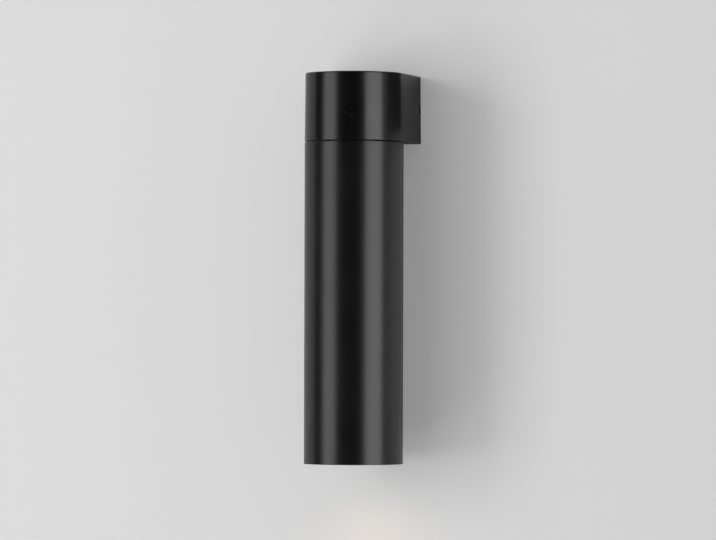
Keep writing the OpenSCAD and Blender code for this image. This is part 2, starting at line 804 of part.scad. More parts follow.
module earth_lead() {
    spot = lead_spot(90);
    z0 = tube_foot_z;
    y1 = strap_leg_y - tag_crimp_z - axis_to_wall;
    x1 = -tag_tail;
    color("#8fae3a")
        swept_tube(concat(
            upper_run(0, spot, 0),
            smooth_route([
                [spot.x, spot.y, z0 + 5],
                [spot.x, spot.y, z0],
                [-0.08 * earth_loop_l, spot.y + 0.1 * earth_loop_l, z0 - 0.3 * earth_loop_l],
                [-0.4 * earth_loop_l, between(spot.y, y1, 0.3), between(z0, strap_earth_z, 0.9)],
                [x1 - 0.5 * earth_loop_l, between(spot.y, y1, 0.55), strap_earth_z + 0.4],
                [x1 - earth_loop_l, between(spot.y, y1, 0.8), strap_earth_z],
                [x1 - earth_loop_l, y1 - 0.6, strap_earth_z],
                [x1 - 0.6 * earth_loop_l, y1, strap_earth_z],
                [x1 - 1, y1, strap_earth_z]
            ])), lead_d / 2);
}

// From the tag's crimp, past the side of the cable hole and up into the middle terminal
module bracket_earth_link() {
    x0 = -earth_screw_x + tag_tail + tag_crimp_l;
    y0 = earth_y - tag_crimp_z;
    x1 = -grommet_flange_r - lead_d / 2 - 0.8;
    z1 = terminal_z0 - 2;
    color("#8fae3a")
        swept_tube(smooth_route([
            [x0 - 3.5, y0, earth_z],
            [x0 - 0.5, y0, earth_z],
            [x0 + 0.8, y0 - 0.1, earth_z + 0.1],
            [between(x0, x1, 0.8), between(y0, sleeve_y, 0.4), between(earth_z, z1, 0.12)],
            [x1, between(y0, sleeve_y, 0.85), between(earth_z, z1, 0.4)],
            [between(x1, 0, 0.2), sleeve_y - 0.5, between(earth_z, z1, 0.7)],
            [between(x1, 0, 0.62), sleeve_y - 0.8, z1 - 1.5],
            [0, sleeve_y, z1],
            [0, sleeve_y, z1 + 2.5],
            [0, sleeve_y, terminal_z0 + 4.5]
        ]), lead_d / 2);
}

// Barrel and the plug that closes its top

module barrel() {
    color(black)
        on_axis(0)
            rotate_extrude()
                polygon([
                    [mouth_r, barrel_z0],
                    [barrel_r - barrel_chamfer, barrel_z0],
                    [barrel_r, barrel_z0 + barrel_chamfer],
                    [barrel_r, barrel_z1 - barrel_chamfer],
                    [barrel_r - barrel_chamfer, barrel_z1],
                    [bore_r, barrel_z1],
                    [bore_r, shoulder_z],
                    [mouth_r, shoulder_z]
                ]);
}

module barrel_top_plug() {
    plug_r = bore_r - close_fit;
    color(black)
        on_axis(0)
            difference() {
                translate([0, 0, plug_z0]) cylinder(r = plug_r, h = plug_t);
                translate([0, 0, barrel_z1 - spigot_h]) cylinder(r = spigot_r + 0.2, h = spigot_h + 1);
                translate([0, 0, plug_z0 - 1])
                    difference() {
                        ring(plug_r - plug_rim_w, plug_hub_r, plug_t - spigot_h - plug_web_t + 1);
                        for (i = [0:plug_ribs - 1])
                            rotate([0, 0, i * 360 / plug_ribs])
                                translate([plug_hub_r - 1, -rib_t / 2, 0])
                                    cube([plug_r - plug_rim_w - plug_hub_r + 2, rib_t, plug_t]);
                    }
                translate([0, 0, plug_z0 - 1]) cylinder(r = tube_r + close_fit, h = plug_t + 2);
            }
}

module head_seal() {
    color(rubber)
        on_axis(barrel_z1 - spigot_h + head_seal_d / 2)
            torus(head_groove_r, head_seal_d / 2 - 0.05);
}

// Threaded centre tube with its nuts and toothed washers

module centre_tube() {
    chamfer = 0.4;
    color(zinc)
        on_axis(0)
            rotate_extrude()
                polygon([
                    [tube_bore_d / 2, tube_z0],
                    [tube_r - chamfer, tube_z0],
                    [tube_r, tube_z0 + chamfer],
                    [tube_r, tube_z1 - chamfer],
                    [tube_r - chamfer, tube_z1],
                    [tube_bore_d / 2, tube_z1]
                ]);
}

module nut() {
    intersection() {
        difference() {
            cylinder(d = nut_af / cos(30), h = nut_h, $fn = 6);
            translate([0, 0, -1]) cylinder(r = tube_r + close_fit, h = nut_h + 2);
        }
        rotate_extrude()
            polygon([
                [0, 0],
                [nut_af / 2, 0],
                [nut_af / 2 / cos(30) + 0.1, 0.5],
                [nut_af / 2 / cos(30) + 0.1, nut_h - 0.5],
                [nut_af / 2, nut_h],
                [0, nut_h]
            ]);
    }
}

module tube_nuts() {
    color(steel)
        for (z = [top_nut_z, plug_z0 - washer_t - nut_h, strap_z1 + washer_t, web_z0 - nut_h])
            on_axis(z) nut();
}

module lock_washer() {
    difference() {
        ring(washer_d / 2, tube_r + close_fit, washer_t);
        for (i = [0:washer_teeth - 1])
            rotate([0, 0, i * 360 / washer_teeth])
                translate([washer_d / 2 - 1.6, -0.5, -1]) cube([3, 1, washer_t + 2]);
    }
}

module lock_washers() {
    color(zinc)
        for (z = [seat_z, plug_z0 - washer_t, strap_z1])
            on_axis(z) lock_washer();
}

module end_bush() {
    bush_r = tube_bore_d / 2 - close_fit;
    rotate_extrude()
        polygon([
            [bush_r - bush_wall, -bush_l],
            [bush_r, -bush_l],
            [bush_r, 0],
            [tube_r - 0.2, 0],
            [tube_r - 0.2, bush_flange_t - 0.3],
            [tube_r - 0.5, bush_flange_t],
            [bush_r - bush_wall, bush_flange_t]
        ]);
}

module tube_end_bushes() {
    color("#efefef") {
        on_axis(tube_z1) end_bush();
        on_axis(tube_z0) mirror([0, 0, 1]) end_bush();
    }
}

// Lampholder: a pressed strap, a ceramic body with two keyholes, its cover, contacts and screws

module strap_half() {
    out_y = strap_leg_y + strap_t;
    in_y = holder_screw_y - holder_screw_d - 0.6;
    bend = strap_t + 1;
    rotate([90, 0, 90])
        linear_extrude(height = strap_w, center = true)
            polygon(concat(
                [[-1, strap_z1]],
                arc(out_y - bend, strap_z1 - bend, bend, 90, 0),
                arc(out_y - bend, holder_z1 + bend, bend, 0, -90),
                [[in_y, holder_z1], [in_y, holder_z1 + strap_t]],
                arc(out_y - bend, holder_z1 + bend, bend - strap_t, -90, 0),
                arc(out_y - bend, strap_z1 - bend, bend - strap_t, 0, 90),
                [[-1, web_z0]]));
}

module lampholder_strap() {
    color(zinc)
        on_axis(0)
            difference() {
                union() {
                    strap_half();
                    mirror([0, 1, 0]) strap_half();
                }
                translate([0, 0, web_z0 - 1]) cylinder(r = tube_r + close_fit, h = strap_t + 2);
                for (s = [-1, 1])
                    translate([0, s * holder_screw_y, holder_z1 - 1])
                        cylinder(r = holder_screw_d / 2 + close_fit, h = strap_t + 2);
                translate([0, strap_leg_y - 1, strap_earth_z])
                    rotate([-90, 0, 0]) cylinder(r = earth_screw_d / 2 + close_fit, h = strap_t + 2);
            }
}

// The strap's earth point is inside the leg nearest the wall, with the tag's tail pointing sideways
module at_strap_earth() {
    translate([0, strap_leg_y - axis_to_wall, strap_earth_z])
        rotate([90, 180, 0])
            children();
}

module strap_earth_screw() {
    color(brass)
        at_strap_earth()
            translate([0, 0, tag_t]) earth_screw(strap_t + tag_t + 1);
}

module strap_earth_tag() {
    color(steel) at_strap_earth() earth_tag();
}

// Flat outline of an arc slot round the axis, from angle a0 to a1
module arc_slot(path_r, half_w, a0, a1) {
    reach = 2 * path_r;
    intersection() {
        difference() {
            circle(r = path_r + half_w);
            circle(r = path_r - half_w);
        }
        polygon([
            [0, 0],
            [reach * cos(a0), reach * sin(a0)],
            [reach * 1.2 * cos((a0 + a1) / 2), reach * 1.2 * sin((a0 + a1) / 2)],
            [reach * cos(a1), reach * sin(a1)]
        ]);
    }
    for (a = [a0, a1])
        rotate([0, 0, a])
            translate([path_r, 0]) circle(r = half_w + 0.04);
}

module lampholder_body() {
    pocket_w = pin_foot_d / 2 + free_fit;
    screw_head_r = holder_screw_d * 0.95;
    color(ceramic)
        on_axis(holder_z)
            difference() {
                cylinder(d = holder_d, h = holder_body_h);
                for (a = [0, 180])
                    rotate([0, 0, a]) {
                        translate([0, 0, key_plate_t])
                            linear_extrude(height = holder_body_h)
                                arc_slot(pin_pitch / 2, pocket_w, -lamp_twist, 0);
                        translate([0, 0, -1])
                            linear_extrude(height = key_plate_t + 2)
                                arc_slot(pin_pitch / 2, pin_neck_d / 2 + free_fit, -lamp_twist, 0);
                        rotate([0, 0, -lamp_twist])
                            translate([pin_pitch / 2, 0, -1])
                                cylinder(r = pocket_w, h = key_plate_t + 2);
                    }
                for (s = [-1, 1])
                    translate([0, s * holder_screw_y, 0]) {
                        translate([0, 0, -1]) cylinder(r = holder_screw_d / 2 + 0.2, h = holder_body_h + 2);
                        translate([0, 0, -1]) cylinder(r = screw_head_r + 0.3, h = 1 + 3);
                    }
            }
}

module lampholder_cover() {
    color(ceramic)
        on_axis(cover_z)
            difference() {
                cylinder(d1 = holder_d, d2 = holder_d - 1.5, h = holder_cover_h);
                for (s = [-1, 1]) {
                    translate([s * pin_pitch / 2, 0, -1])
                        cylinder(r = crimp_r + 0.2, h = holder_cover_h + 2);
                    translate([0, s * holder_screw_y, -1])
                        cylinder(r = holder_screw_d / 2 + 0.2, h = holder_cover_h + 2);
                }
            }
}

module lampholder_contact() {
    blade_l = 4;
    blade_w = 3.2;
    translate([(pin_pitch - blade_l) / 2, -blade_w / 2, contact_z]) cube([blade_l, blade_w, contact_t]);
    difference() {
        translate([pin_pitch / 2, 0, contact_z]) cylinder(r = crimp_r, h = holder_z1 - 0.5 - contact_z);
        translate([pin_pitch / 2, 0, cover_z + 1])
            cylinder(r = lead_d / 2 + close_fit, h = holder_cover_h + 2);
    }
}

module lampholder_contacts() {
    color(brass)
        on_axis(0) {
            lampholder_contact();
            mirror([1, 0, 0]) lampholder_contact();
        }
}

module lampholder_screws() {
    head_h = 1.8;
    screw_l = holder_z1 + strap_t + 1 - holder_z - 3 + head_h;
    color(steel)
        for (s = [-1, 1])
            on_axis(holder_z + 3 - head_h)
                translate([0, s * holder_screw_y, 0])
                    difference() {
                        union() {
                            cylinder(r = holder_screw_d * 0.95, h = head_h);
                            cylinder(d = holder_screw_d, h = screw_l);
                        }
                        translate([0, 0, -1]) cross_recess(holder_screw_d, 2);
                    }
}

// Lamp: base, pins, finned heatsink, light board and lens, which turn together in the holder

module lamp_base() {
    color("#e4e4e2")
        on_axis(0)
            difference() {
                rotate_extrude()
                    polygon([
                        [0, lamp_neck_z],
                        [lamp_base_d / 2 + 1.5, lamp_neck_z],
                        [lamp_base_d / 2, lamp_neck_z + 4],
                        [lamp_base_d / 2, lamp_z1 - 1],
                        [lamp_base_d / 2 - 1, lamp_z1],
                        [0, lamp_z1]
                    ]);
                for (s = [-1, 1])
                    translate([s * pin_pitch / 2, 0, lamp_z1 - 3])
                        cylinder(r = pin_neck_d / 2 + close_fit, h = 4);
            }
}

module lamp_pins() {
    color(steel)
        for (s = [-1, 1])
            on_axis(0)
                translate([s * pin_pitch / 2, 0, 0]) {
                    translate([0, 0, lamp_z1 - 3]) cylinder(d = pin_neck_d, h = pin_foot_z - lamp_z1 + 3.5);
                    translate([0, 0, pin_foot_z]) cylinder(d = pin_foot_d, h = pin_foot_h);
                }
}

lamp_neck_z = lamp_z1 - lamp_base_h;
lamp_rim_z = lamp_z0 + lamp_rim_h;
core_r = lamp_base_d / 2 - 0.5;
cone_r = lamp_d / 2 - 2.5;
cone_wall = 1.6;
lens_t = 1.6;
board_t = 1.2;
board_rise = 9;
board_z = lamp_z0 + board_rise;
chip_h = 0.8;
chip_headroom = 1;
cup_wall = 0.5;
cup_gap = 0.2;
cup_r = min(chip_ring_r / 2, chip_ring_r * sin(180 / lamp_chips)) - cup_gap;

// Outer radius of the heatsink's cone at a height
function cone_at(z) = between(cone_r, core_r, (z - lamp_rim_z) / (lamp_neck_z - lamp_rim_z));

module lamp_heatsink() {
    color("#d6d7d8")
        on_axis(0)
            difference() {
                union() {
                    rotate_extrude()
                        polygon([
                            [0, lamp_z0],
                            [lamp_d / 2 - 0.6, lamp_z0],
                            [lamp_d / 2, lamp_z0 + 0.6],
                            [lamp_d / 2, lamp_rim_z - 0.6],
                            [lamp_d / 2 - 0.6, lamp_rim_z],
                            [cone_r, lamp_rim_z],
                            [core_r, lamp_neck_z],
                            [0, lamp_neck_z]
                        ]);
                    intersection() {
                        for (i = [0:lamp_fins - 1])
                            rotate([0, 0, (i + 0.5) * 360 / lamp_fins])
                                translate([core_r - 2, -lamp_fin_t / 2, lamp_rim_z - 1])
                                    cube([lamp_d / 2, lamp_fin_t, lamp_neck_z - lamp_rim_z + 1]);
                        rotate_extrude()
                            polygon([
                                [0, lamp_rim_z - 2],
                                [lamp_d / 2 - 1, lamp_rim_z - 2],
                                [lamp_d / 2 - 1, lamp_rim_z + 1],
                                [cone_at(lamp_rim_z + 12) + 4, lamp_rim_z + 12],
                                [core_r + 1.5, lamp_neck_z],
                                [0, lamp_neck_z]
                            ]);
                    }
                }
                rotate_extrude()
                    polygon([
                        [0, lamp_z0 - 1],
                        [cone_r, lamp_z0 - 1],
                        [cone_r, lamp_z0 + lens_t],
                        [cone_r - 1.2, lamp_z0 + lens_t],
                        [cone_r - cone_wall, lamp_rim_z],
                        [cone_at(board_z) - cone_wall, board_z],
                        [0, board_z]
                    ]);
            }
}

// One child at the middle and one at each place of the ring
module at_chips() {
    children();
    for (i = [0:lamp_chips - 1])
        rotate([0, 0, i * 360 / lamp_chips])
            translate([chip_ring_r, 0, 0]) children();
}

module lamp_board() {
    color("#f3f1ea")
        on_axis(board_z - board_t) {
            cylinder(r = cone_at(board_z) - cone_wall - close_fit, h = board_t);
            at_chips()
                translate([-chip_w / 2, -chip_w / 2, -chip_h])
                    cube([chip_w, chip_w, chip_h + board_t / 2]);
        }
}

// A clear cup with a parabolic flank, which stands on the board with a chip in its well
module lens_cup() {
    steps = 6;
    foot_z = board_z - board_t - close_fit - lamp_z0;
    well_r = chip_w / sqrt(2) + free_fit;
    well_h = chip_h + chip_headroom;
    foot_r = well_r + cup_wall;
    rotate_extrude()
        polygon(concat(
            [[0, lens_t / 2], [cup_r, lens_t / 2]],
            [for (i = [0:steps])
                let (t = i / steps)
                [between(cup_r, foot_r, t * t), between(lens_t, foot_z, t)]],
            [[well_r, foot_z], [well_r, foot_z - well_h], [0, foot_z - well_h]]));
}

module lamp_lens() {
    color("#f7f4ec", 0.8)
        on_axis(lamp_z0) {
            cylinder(r = cone_r - close_fit, h = lens_t);
            at_chips() lens_cup();
        }
}

// Front ring: a flanged sleeve that pushes into the barrel's mouth and carries the glass

module front_ring() {
    flange_r = mouth_r - free_fit;
    notch_r = 4;
    color(black)
        on_axis(0)
            difference() {
                rotate_extrude()
                    polygon([
                        [window_r + 0.8, ring_z0],
                        [flange_r - 0.4, ring_z0],
                        [flange_r, ring_z0 + 0.4],
                        [flange_r, shoulder_z - close_fit],
                        [ring_r, shoulder_z - close_fit],
                        [ring_r, ring_groove_z - ring_groove_w / 2],
                        [ring_groove_r, ring_groove_z - ring_groove_w / 2],
                        [ring_groove_r, ring_groove_z + ring_groove_w / 2],
                        [ring_r, ring_groove_z + ring_groove_w / 2],
                        [ring_r, ring_z1 - 0.4],
                        [ring_r - 0.4, ring_z1],
                        [ring_in_r, ring_z1],
                        [ring_in_r, clip_z + clip_wire_d / 2 + 0.1],
                        [ring_in_r + clip_wire_d / 2, clip_z + clip_wire_d / 2 + 0.1],
                        [ring_in_r + clip_wire_d / 2, clip_z - clip_wire_d / 2],
                        [ring_in_r, clip_z - clip_wire_d / 2],
                        [ring_in_r, shoulder_z],
                        [window_r, shoulder_z],
                        [window_r, ring_z0 + 0.8]
                    ]);
                for (i = [0:ring_notches - 1])
                    rotate([0, 0, 90 + i * 360 / ring_notches])
                        translate([window_r, 0, ring_z0 - 1])
                            cylinder(r = notch_r, h = 1 + ring_flange_t / 2);
            }
}

module glass_gasket() {
    color(rubber)
        on_axis(shoulder_z)
            ring(glass_r, window_r + 0.3, glass_gasket_t);
}

module front_glass() {
    bevel = 0.4;
    color("#cfe0df", 0.35)
        on_axis(0)
            rotate_extrude()
                polygon([
                    [0, glass_z0],
                    [glass_r - bevel, glass_z0],
                    [glass_r, glass_z0 + bevel],
                    [glass_r, glass_z1 - bevel],
                    [glass_r - bevel, glass_z1],
                    [0, glass_z1]
                ]);
}

module glass_clip() {
    gap_deg = 14;
    color(steel)
        on_axis(clip_z)
            rotate([0, 0, gap_deg / 2])
                rotate_extrude(angle = 360 - gap_deg)
                    translate([ring_in_r - close_fit, 0])
                        circle(d = clip_wire_d, $fn = 32);
}

module ring_seal() {
    color(rubber)
        on_axis(ring_groove_z)
            torus(bore_r - ring_seal_d / 2 - 0.1, ring_seal_d / 2);
}

wall_bracket();
rear_gasket();
cable_grommet();
head_housing();
side_locking_screws();
terminal_block();
terminal_sleeves();
terminal_screws();
terminal_fixing_screws();
bracket_earth_screw();
bracket_earth_tag();
bracket_earth_link();
barrel();
barrel_top_plug();
head_seal();
centre_tube();
tube_nuts();
lock_washers();
tube_end_bushes();
lampholder_strap();
lampholder_body();
lampholder_cover();
lampholder_contacts();
lampholder_screws();
strap_earth_screw();
strap_earth_tag();
live_lead();
neutral_lead();
earth_lead();
lamp_base();
lamp_pins();
lamp_heatsink();
lamp_board();
lamp_lens();
front_ring();
front_glass();
glass_gasket();
glass_clip();
ring_seal();
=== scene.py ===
# %% [markdown]
# # A black wall light, dressed in Blender
# The light is a black tube that hangs under a D-shaped head on a pale wall. Its solids were drawn in CAD, so
# here they are loaded as a fixed frame in metres, and this lesson gives them their looks: finishes, a few
# pieces with finer shapes, the wall, the lights and the camera. Loading comes first, because every later
# piece takes its place from the frame.

# %% Load the measured frame
import json
import math

import bmesh
import bpy
from mathutils import Matrix, Vector


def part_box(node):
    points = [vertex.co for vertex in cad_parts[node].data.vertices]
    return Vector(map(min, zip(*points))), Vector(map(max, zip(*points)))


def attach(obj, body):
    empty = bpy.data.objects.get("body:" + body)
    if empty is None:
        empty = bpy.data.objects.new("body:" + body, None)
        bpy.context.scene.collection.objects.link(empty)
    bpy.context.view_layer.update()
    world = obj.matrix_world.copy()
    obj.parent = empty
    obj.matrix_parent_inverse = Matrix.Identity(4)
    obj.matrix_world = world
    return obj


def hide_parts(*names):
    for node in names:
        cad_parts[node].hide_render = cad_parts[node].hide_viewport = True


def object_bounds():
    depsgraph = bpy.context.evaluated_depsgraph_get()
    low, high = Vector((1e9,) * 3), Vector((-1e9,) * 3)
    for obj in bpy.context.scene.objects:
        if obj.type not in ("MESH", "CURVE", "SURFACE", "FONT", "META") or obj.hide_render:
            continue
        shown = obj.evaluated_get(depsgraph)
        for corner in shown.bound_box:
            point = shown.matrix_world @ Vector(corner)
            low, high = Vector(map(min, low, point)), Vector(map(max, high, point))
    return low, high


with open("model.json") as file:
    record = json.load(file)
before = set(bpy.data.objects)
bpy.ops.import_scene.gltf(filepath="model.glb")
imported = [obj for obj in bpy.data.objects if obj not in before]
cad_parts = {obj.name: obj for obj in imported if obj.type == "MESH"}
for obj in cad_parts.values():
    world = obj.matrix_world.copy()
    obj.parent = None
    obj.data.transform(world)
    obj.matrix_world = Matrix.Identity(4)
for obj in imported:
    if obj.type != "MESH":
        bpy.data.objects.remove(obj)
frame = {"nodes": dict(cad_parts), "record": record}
cad_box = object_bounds()
nodes = frame["nodes"]
slot_of = {part["node"]: part["material_slot"] for part in frame["record"]["subparts"]}
print("nodes", len(nodes), "whole object from", cad_box[0], "to", cad_box[1])

# %% [markdown]
# The tube's axis and its two ends are needed again and again. They are read from the frame, not typed, so the
# new pieces stay right if the CAD sizes change.

# %% The tube's place
MM = 0.001
tube_low, tube_high = (Vector(corner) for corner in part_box("barrel"))
axis_x = (tube_low.x + tube_high.x) / 2
axis_y = (tube_low.y + tube_high.y) / 2
mouth_z = tube_low.z
print("axis", round(axis_x, 5), round(axis_y, 5), "mouth at", round(mouth_z, 5))

# %% [markdown]
# ## The camera
# The photograph was taken from about 15 degrees to the right and almost level, through a long lens: the
# tube's sides stay parallel. A short lens close by would spread the mouth and shrink the head, so the camera
# stands almost four metres away. It is turned by three directions (right, up and back), which keeps its small
# roll exact.

# %% Place the camera
def stand_camera(aim, around, above, roll, distance, lens):
    around, above, roll = math.radians(around), math.radians(above), math.radians(roll)
    back = Vector((math.sin(around) * math.cos(above), -math.cos(around) * math.cos(above), math.sin(above)))
    right = Vector((math.cos(around), math.sin(around), 0))
    up = back.cross(right)
    right, up = right * math.cos(roll) + up * math.sin(roll), up * math.cos(roll) - right * math.sin(roll)
    turn = Matrix((right, up, back)).transposed()
    camera = bpy.data.objects.new("camera", bpy.data.cameras.new("camera"))
    camera.matrix_world = Matrix.Translation(aim + back * distance) @ turn.to_4x4()
    camera.data.lens = lens
    camera.data.sensor_width = 36
    camera.data.clip_end = 50
    bpy.context.scene.collection.objects.link(camera)
    bpy.context.scene.camera = camera
    return camera


CAMERA_AIM = Vector((-0.0004, -0.0451, -0.1247))
camera = stand_camera(CAMERA_AIM, around=15, above=-0.777, roll=0.152, distance=3.817, lens=249.03)
print("camera at", tuple(round(v, 3) for v in camera.location))

# %% [markdown]
# ## Formulas for finishes
# A finish is made of small sums: a mask times a number, one minus a mask, a grain added to a roughness. Nodes
# can be joined by hand, but long chains hide the idea. A socket wrapped in a small class lets Python's own
# signs write the Math nodes, so a finish reads like a formula. Colours never go through Math nodes, which
# would turn them grey: they go through one mixing method.

# %% A socket that can be written in formulas
class Wire:
    def __init__(self, finish, socket):
        self.finish, self.socket = finish, socket

    def sum_with(self, operation, *others):
        return self.finish.node("ShaderNodeMath", {"operation": operation}, dict(enumerate((self,) + others)))

    def __add__(self, other):
        return self.sum_with("ADD", other)

    def __sub__(self, other):
        return self.sum_with("SUBTRACT", other)

    def __mul__(self, other):
        return self.sum_with("MULTIPLY", other)

    def __pow__(self, other):
        return self.sum_with("POWER", other)

    def __lt__(self, other):
        return self.sum_with("LESS_THAN", other)

    def __gt__(self, other):
        return self.sum_with("GREATER_THAN", other)

    def __rsub__(self, other):
        return self.finish.node("ShaderNodeMath", {"operation": "SUBTRACT"}, {0: other, 1: self})

    __radd__ = __add__
    __rmul__ = __mul__


# %% [markdown]
# A finish holds one material. Its one `node` method makes any kind of node: the settings are set first,
# because they decide which sockets the node has, and then the sockets get their values or links.

# %% A finish and its one way to add a node
class Finish:
    def __init__(self, name, metallic=0.0, roughness=0.5, colour=(0.5, 0.5, 0.5)):
        self.material = bpy.data.materials.new(name)
        self.material.use_nodes = True
        self.tree = self.material.node_tree
        self.shader = self.tree.nodes["Principled BSDF"]
        self.set(**{"Metallic": metallic, "Roughness": roughness, "Base Color": colour})
        self.place = self.node("ShaderNodeTexCoord", output="Object")

    def node(self, kind, settings={}, sockets={}, output=0):
        made = self.tree.nodes.new(kind)
        for key, value in settings.items():
            setattr(made, key, value)
        for key, value in sockets.items():
            self.join(made.inputs[key], value)
        return Wire(self, made.outputs[output])

    def join(self, socket, value):
        if isinstance(value, Wire):
            self.tree.links.new(value.socket, socket)
        elif socket.type == "RGBA":
            socket.default_value = (*value, 1)
        else:
            socket.default_value = value

    def set(self, **sockets):
        for name, value in sockets.items():
            self.join(self.shader.inputs[name], value)

    def mix(self, mask, first, second):
        return self.node("ShaderNodeMix", {"data_type": "RGBA"}, {0: mask, 6: first, 7: second}, output=2)

    def stretched(self, x, y, z):
        return self.node("ShaderNodeMapping", {}, {"Vector": self.place, "Scale": (x, y, z)})

    def noise(self, size, detail=2.0, place=None):
        return self.node("ShaderNodeTexNoise", {}, {"Vector": place or self.place, "Scale": 1 / size,
                                                    "Detail": detail, "Roughness": 0.55})

    def cells(self, size, output="Distance", place=None):
        return self.node("ShaderNodeTexVoronoi", {},
                         {"Vector": place or self.place, "Scale": 1 / size}, output=output)

    def specks(self, size, share, reach=0.35):
        luck = self.node("ShaderNodeSeparateColor", {}, {0: self.cells(size, "Color")})
        return (luck < share) * (self.cells(size) < reach)

    def bump(self, height, depth, strength=1.0):
        sockets = {"Height": height, "Distance": depth, "Strength": strength}
        self.set(Normal=self.node("ShaderNodeBump", {}, sockets))


# %% [markdown]
# ## Powder coat
# The head, the tube, the plug and the front ring are aluminium under a satin black powder coat. Baked powder
# flows into a fine orange-peel skin with a few paler grains in it. A flat black would look like a hole in the
# picture, so the skin gets a bump of about a third of a millimetre across and a roughness that drifts over
# the surface. The cast head is a little glossier than the tube, and its colour is painted darker as
# painted shade, so the same recipe is made twice.

# %% Make the powder coats
def powder_coat(name, dark, pale, gloss):
    coat = Finish(name, roughness=gloss)
    peel = coat.noise(0.55 * MM, 3)
    drift = coat.noise(28 * MM, 1)
    grain = coat.specks(0.8 * MM, 0.05)
    coat.set(**{"Base Color": coat.mix(grain * 0.6, coat.mix(drift, dark, pale), (0.035, 0.035, 0.036)),
                "Roughness": gloss - 0.03 + 0.06 * drift + 0.05 * (peel - 0.5)})
    coat.bump(peel + 0.4 * grain, 0.012 * MM, 0.5)
    return coat.material


tube_coat = powder_coat("powder coat on the tube", (0.003, 0.003, 0.0032), (0.0046, 0.0045, 0.0047), 0.29)
# The head's colour is painted darker than the tube's: painted shade. Its lower roughness is its own.
shaded_head_coat = powder_coat("powder coat on the head, painted darker as shade", (0.0018, 0.0018, 0.002), (0.0028, 0.0028, 0.003), 0.25)
print("powder coats", tube_coat.name, "/", shaded_head_coat.name)

# %% [markdown]
# ## Metals
# Zinc-plated sheet shows pale flakes of different tilt, with a slight blue cast. Cut steel and brass show
# fine turned or drawn lines and small dull patches. Stretching a noise along one direction makes drawn lines
# at no cost.

# %% Make the plated sheet
def zinc_plate():
    zinc = Finish("zinc-plated sheet", metallic=1.0, roughness=0.34)
    flakes = zinc.node("ShaderNodeSeparateColor", {}, {0: zinc.cells(2.6 * MM, "Color")})
    haze = zinc.noise(9 * MM, 4)
    lines = zinc.noise(0.25 * MM, 2, zinc.stretched(1, 1, 0.06))
    zinc.set(**{"Base Color": zinc.mix(0.35 * flakes + 0.4 * haze, (0.46, 0.48, 0.52), (0.66, 0.67, 0.68)),
                "Roughness": 0.27 + 0.1 * flakes + 0.12 * haze})
    zinc.bump(flakes * 0.3 + lines, 0.01 * MM, 0.4)
    return zinc.material


def drawn_metal(name, dark, pale, gloss):
    metal = Finish(name, metallic=1.0, roughness=gloss)
    lines = metal.noise(0.18 * MM, 2, metal.stretched(0.12, 1, 1))
    dull = metal.noise(2.4 * MM, 4)
    metal.set(**{"Base Color": metal.mix(dull, dark, pale), "Roughness": gloss - 0.08 + 0.2 * dull})
    metal.bump(lines, 0.008 * MM, 0.4)
    return metal.material


zinc_steel = zinc_plate()
steel = drawn_metal("drawn steel", (0.5, 0.51, 0.53), (0.68, 0.68, 0.69), 0.3)
brass = drawn_metal("drawn brass", (0.52, 0.36, 0.13), (0.74, 0.58, 0.27), 0.28)
lamp_metal = drawn_metal("lamp body metal", (0.62, 0.63, 0.65), (0.78, 0.78, 0.79), 0.4)
print("metals ready")

# %% [markdown]
# ## Rubber, plastics and ceramic
# Moulded pieces differ by gloss and by what their tools leave behind. Rubber is dull with a dusting of talc,
# nylon and terminal plastic have a fine spark-eroded grain, and the lampholder's ceramic is creamy with tiny
# dark specks under a soft glaze.

# %% Make the moulded finishes
def moulded(name, dark, pale, gloss, grain_size, depth, patch=6 * MM):
    stuff = Finish(name, roughness=gloss)
    grain = stuff.noise(grain_size, 3)
    patches = stuff.noise(patch, 3)
    stuff.set(**{"Base Color": stuff.mix(patches, dark, pale), "Roughness": gloss - 0.06 + 0.12 * patches})
    stuff.bump(grain, depth, 0.6)
    return stuff


def talc_rubber():
    stuff = moulded("black rubber", (0.009, 0.009, 0.0095), (0.02, 0.02, 0.021), 0.68, 0.3 * MM, 0.02 * MM)
    return stuff.material


def specked_ceramic():
    stuff = moulded("glazed ceramic", (0.74, 0.7, 0.6), (0.84, 0.81, 0.72), 0.4, 0.9 * MM, 0.015 * MM)
    specks = stuff.specks(1.1 * MM, 0.06, 0.2)
    stuff.set(**{"Base Color": stuff.mix(specks * 0.7, (0.8, 0.77, 0.68), (0.2, 0.15, 0.1)),
                 "Coat Weight": 0.35})
    return stuff.material


rubber = talc_rubber()
ceramic = specked_ceramic()
plastics = {
    slot: moulded(name, dark, pale, gloss, grain_size * MM, depth * MM).material
    for slot, name, dark, pale, gloss, grain_size, depth in (
        ("terminal_plastic", "terminal plastic", (0.66, 0.64, 0.57), (0.75, 0.73, 0.67), 0.5, 0.4, 0.01),
        ("white_nylon", "white nylon", (0.8, 0.8, 0.77), (0.87, 0.87, 0.85), 0.45, 0.5, 0.01),
        ("lamp_plastic", "lamp base plastic", (0.76, 0.76, 0.73), (0.83, 0.83, 0.81), 0.32, 0.7, 0.008),
        ("white_board", "white lacquered board", (0.8, 0.79, 0.74), (0.87, 0.86, 0.82), 0.38, 0.5, 0.006),
        ("brown_sleeving", "brown lead", (0.11, 0.04, 0.016), (0.16, 0.06, 0.025), 0.46, 0.4, 0.006),
        ("blue_sleeving", "blue lead", (0.02, 0.085, 0.3), (0.03, 0.12, 0.4), 0.46, 0.4, 0.006),
    )
}
print("moulded finishes ready:", ", ".join(plastics))

# %% [markdown]
# An earth lead is green with a yellow stripe along each side, so that even its cut end tells what it is. The
# stripe follows the lead round every bend. A lead's skin faces all ways around its run, so the paint can go
# by where the skin faces: yellow where it faces one chosen way or its opposite, green elsewhere.

# %% Make the earth lead's sleeving
GREENS = (0.05, 0.2, 0.03), (0.07, 0.26, 0.045)
YELLOWS = (0.62, 0.5, 0.03), (0.74, 0.62, 0.05)
STRIPE_WAY = (0.64, 0.64, 0.43)
STRIPE_EDGE = 0.42


